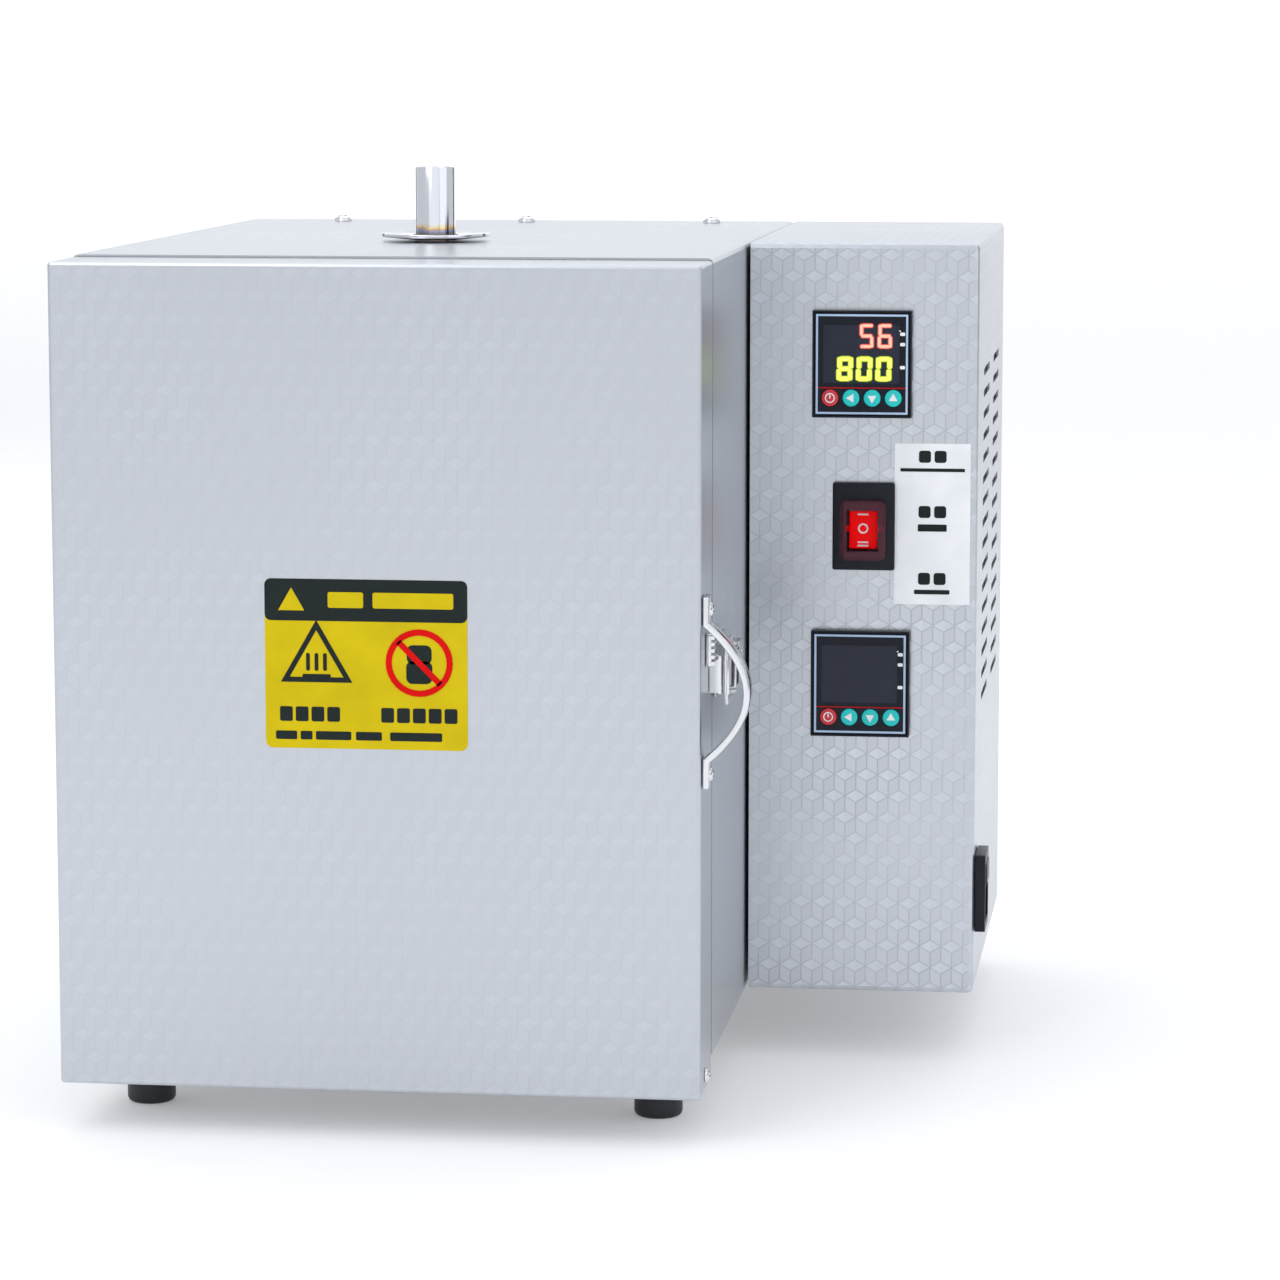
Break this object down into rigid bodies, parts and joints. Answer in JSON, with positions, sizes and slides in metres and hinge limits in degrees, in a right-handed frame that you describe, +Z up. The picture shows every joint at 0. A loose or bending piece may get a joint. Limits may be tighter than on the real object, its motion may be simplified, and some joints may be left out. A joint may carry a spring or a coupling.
{
  "type": "bench burn-out oven",
  "caption": "Electric bench oven with a side-hinged insulated door, ceramic fibre chamber, flue on top, draw latch, and a control box with two controllers and a rocker switch.",
  "frame": {"origin": "centre of the bounding box, at the surface that the four feet stand on", "axes": "+Z up, the door and the controllers face -Y, the control box is on +X and the door hinges are on -X"},
  "size_m": [0.392, 0.4262, 0.4042],
  "materials": {
    "patterned_steel": "stainless sheet embossed with a small tumbling-block pattern, bright",
    "plain_steel": "plain stainless sheet, satin",
    "polished_steel": "mirror-polished stainless steel, heat tint at the flue weld",
    "ceramic_fibre": "rigid ceramic fibre board, matt, slightly fibrous",
    "ceramic": "fired refractory ceramic, matt",
    "resistance_wire": "coiled resistance wire, dark oxide",
    "black_rubber": "moulded rubber, satin",
    "black_plastic": "moulded plastic, fine texture",
    "dark_face": "glossy dark front film with a pale blue outline",
    "teal_key": "soft moulded key, satin",
    "red_key": "soft moulded key, satin",
    "red_rocker": "glossy red plastic with white position marks",
    "red_boot": "clear dark red flexible boot",
    "aluminium": "extruded, as drawn",
    "grey_plastic": "moulded plastic",
    "label_yellow": "printed film, satin",
    "label_white": "white printed film",
    "print_black": "black print",
    "print_red": "red print",
    "print_white": "white print",
    "display_red": "lit red seven-segment digits",
    "display_yellow": "lit yellow-green seven-segment digits"
  },
  "bodies": {
    "body": {"outer_case": "patterned_steel", "control_cover": "patterned_steel", "base_plate": "plain_steel", "back_panel": "plain_steel", "front_frame": "plain_steel", "control_chassis": "plain_steel", "latch_base": "plain_steel", "upper_hinge_case_leaf": "plain_steel", "lower_hinge_case_leaf": "plain_steel", "flue_tube": "polished_steel", "flue_flange": "polished_steel", "top_screw_left": "polished_steel", "top_screw_middle": "polished_steel", "top_screw_right": "polished_steel", "floor_board": "ceramic_fibre", "roof_board": "ceramic_fibre", "left_board": "ceramic_fibre", "right_board": "ceramic_fibre", "rear_board": "ceramic_fibre", "hearth_tile": "ceramic", "thermocouple_probe": "ceramic", "left_heating_element": "resistance_wire", "right_heating_element": "resistance_wire", "foot_front_left": "black_rubber", "foot_front_right": "black_rubber", "foot_rear_left": "black_rubber", "foot_rear_right": "black_rubber", "upper_controller_housing": "black_plastic", "lower_controller_housing": "black_plastic", "switch_housing": "black_plastic", "power_inlet": "black_plastic", "thermocouple_head": "black_plastic", "upper_controller_face": "dark_face", "lower_controller_face": "dark_face", "switch_boot": "red_boot", "heat_sink": "aluminium", "solid_state_relay": "grey_plastic", "terminal_block": "grey_plastic"},
    "door": {"door_outer_pan": "patterned_steel", "door_inner_panel": "plain_steel", "door_insulation": "ceramic_fibre", "door_side_screw": "polished_steel", "door_handle": "polished_steel", "handle_screw_upper": "polished_steel", "handle_screw_lower": "polished_steel", "latch_keeper": "polished_steel", "upper_hinge_door_leaf": "plain_steel", "lower_hinge_door_leaf": "plain_steel"},
    "latch_lever": {"latch_lever": "polished_steel"},
    "latch_bail": {"latch_bail": "polished_steel"},
    "rocker": {"rocker": "red_rocker"},
    "upper_key_power": {"upper_key_power": "red_key"},
    "upper_key_shift": {"upper_key_shift": "teal_key"},
    "upper_key_down": {"upper_key_down": "teal_key"},
    "upper_key_up": {"upper_key_up": "teal_key"},
    "lower_key_power": {"lower_key_power": "red_key"},
    "lower_key_shift": {"lower_key_shift": "teal_key"},
    "lower_key_down": {"lower_key_down": "teal_key"},
    "lower_key_up": {"lower_key_up": "teal_key"}
  },
  "joints": [
    {"name": "door_hinge", "type": "hinge", "parent": "body", "child": "door", "pos_m": [-0.192, -0.17015, 0.201], "axis": [0, 0, -1], "range_deg": [0, 165]},
    {"name": "latch_lever_pivot", "type": "hinge", "parent": "body", "child": "latch_lever", "pos_m": [0.0935, -0.15915, 0.1975], "axis": [0, 0, -1], "range_deg": [0, 150]},
    {"name": "latch_bail_pivot", "type": "hinge", "parent": "latch_lever", "child": "latch_bail", "pos_m": [0.0935, -0.15415, 0.1975], "axis": [0, 0, -1], "range_deg": [-150, 0]},
    {"name": "rocker_tilt", "type": "hinge", "parent": "body", "child": "rocker", "pos_m": [0.1402, -0.02915, 0.243], "axis": [1, 0, 0], "range_deg": [-10, 10]},
    {"name": "upper_power_press", "type": "slide", "parent": "body", "child": "upper_key_power", "axis": [0, 1, 0], "range_m": [0, 0.0007], "stiffness_N_per_m": 300, "springref_m": -0.002},
    {"name": "upper_shift_press", "type": "slide", "parent": "body", "child": "upper_key_shift", "axis": [0, 1, 0], "range_m": [0, 0.0007], "stiffness_N_per_m": 300, "springref_m": -0.002},
    {"name": "upper_down_press", "type": "slide", "parent": "body", "child": "upper_key_down", "axis": [0, 1, 0], "range_m": [0, 0.0007], "stiffness_N_per_m": 300, "springref_m": -0.002},
    {"name": "upper_up_press", "type": "slide", "parent": "body", "child": "upper_key_up", "axis": [0, 1, 0], "range_m": [0, 0.0007], "stiffness_N_per_m": 300, "springref_m": -0.002},
    {"name": "lower_power_press", "type": "slide", "parent": "body", "child": "lower_key_power", "axis": [0, 1, 0], "range_m": [0, 0.0007], "stiffness_N_per_m": 300, "springref_m": -0.002},
    {"name": "lower_shift_press", "type": "slide", "parent": "body", "child": "lower_key_shift", "axis": [0, 1, 0], "range_m": [0, 0.0007], "stiffness_N_per_m": 300, "springref_m": -0.002},
    {"name": "lower_down_press", "type": "slide", "parent": "body", "child": "lower_key_down", "axis": [0, 1, 0], "range_m": [0, 0.0007], "stiffness_N_per_m": 300, "springref_m": -0.002},
    {"name": "lower_up_press", "type": "slide", "parent": "body", "child": "lower_key_up", "axis": [0, 1, 0], "range_m": [0, 0.0007], "stiffness_N_per_m": 300, "springref_m": -0.002}
  ],
  "couplings": [
    {"joint": "latch_bail_pivot", "follows": "latch_lever_pivot", "ratio": -1}
  ]
}
